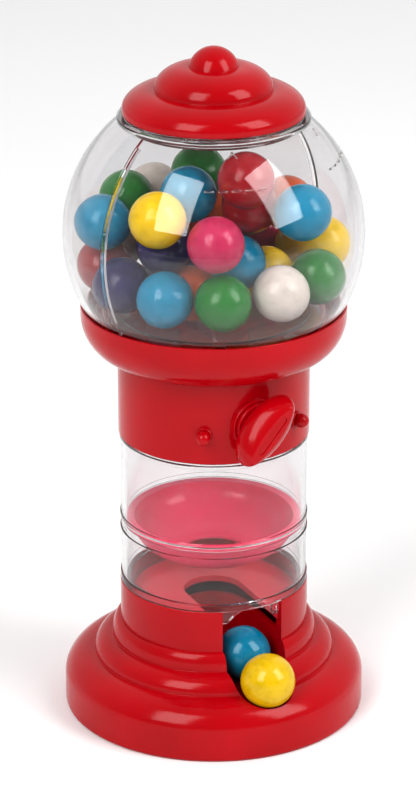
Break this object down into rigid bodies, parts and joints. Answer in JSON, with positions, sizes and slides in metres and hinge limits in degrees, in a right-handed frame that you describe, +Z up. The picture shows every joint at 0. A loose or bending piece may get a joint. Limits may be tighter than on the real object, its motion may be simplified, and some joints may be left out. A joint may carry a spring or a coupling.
{
  "type": "gumball machine",
  "caption": "Small gumball machine: clear globe of gumballs, turning knob, clear drop tube and stepped red base with an outlet tray.",
  "frame": {"origin": "centre of the base's underside", "axes": "+Z up, -Y front, outlet and knob turned 25.5 degrees from the front towards +X"},
  "size_m": [0.086, 0.086, 0.1953],
  "materials": {
    "red_plastic": "glossy injection moulded red",
    "clear_plastic": "clear glossy styrene",
    "steel": "zinc plated",
    "gum_blue": "sugar shell",
    "gum_navy": "sugar shell",
    "gum_green": "sugar shell",
    "gum_yellow": "sugar shell",
    "gum_pink": "sugar shell",
    "gum_red": "sugar shell",
    "gum_white": "sugar shell",
    "gum_orange": "sugar shell"
  },
  "bodies": {
    "machine": {"base_shell": "red_plastic", "bottom_plate": "red_plastic", "plate_screws": "steel", "drop_floor": "red_plastic", "lower_tube": "clear_plastic", "bowl_plate": "red_plastic", "upper_tube": "clear_plastic", "head": "red_plastic", "cradle": "red_plastic", "cradle_pins": "red_plastic", "saucer": "red_plastic", "head_screws": "steel", "feed_throat": "red_plastic", "globe_floor": "clear_plastic", "globe_front_shell": "clear_plastic", "globe_back_shell": "clear_plastic", "neck_ring": "clear_plastic", "gumballs_blue": "gum_blue", "gumballs_navy": "gum_navy", "gumballs_green": "gum_green", "gumballs_yellow": "gum_yellow", "gumballs_pink": "gum_pink", "gumballs_red": "gum_red", "gumballs_white": "gum_white", "gumballs_orange": "gum_orange", "gumballs_tray_yellow": "gum_yellow", "gumballs_tray_blue": "gum_blue"},
    "knob": {"knob": "red_plastic", "rotor": "red_plastic", "rotor_screw": "steel"},
    "lid_seal": {"lid_seal": "clear_plastic"},
    "lid": {"lid": "red_plastic"}
  },
  "joints": [
    {"name": "knob_turn", "type": "hinge", "parent": "machine", "child": "knob", "pos_m": [0, 0, 0.095], "axis": [0.4305, -0.9026, 0], "continuous": true},
    {"name": "lid_lift", "type": "slide", "parent": "machine", "child": "lid_seal", "axis": [0, 0, 1], "range_m": [0, 0.03]},
    {"name": "lid_turn", "type": "hinge", "parent": "lid_seal", "child": "lid", "pos_m": [0, 0, 0.1768], "axis": [0, 0, 1], "range_deg": [-50, 0]}
  ]
}
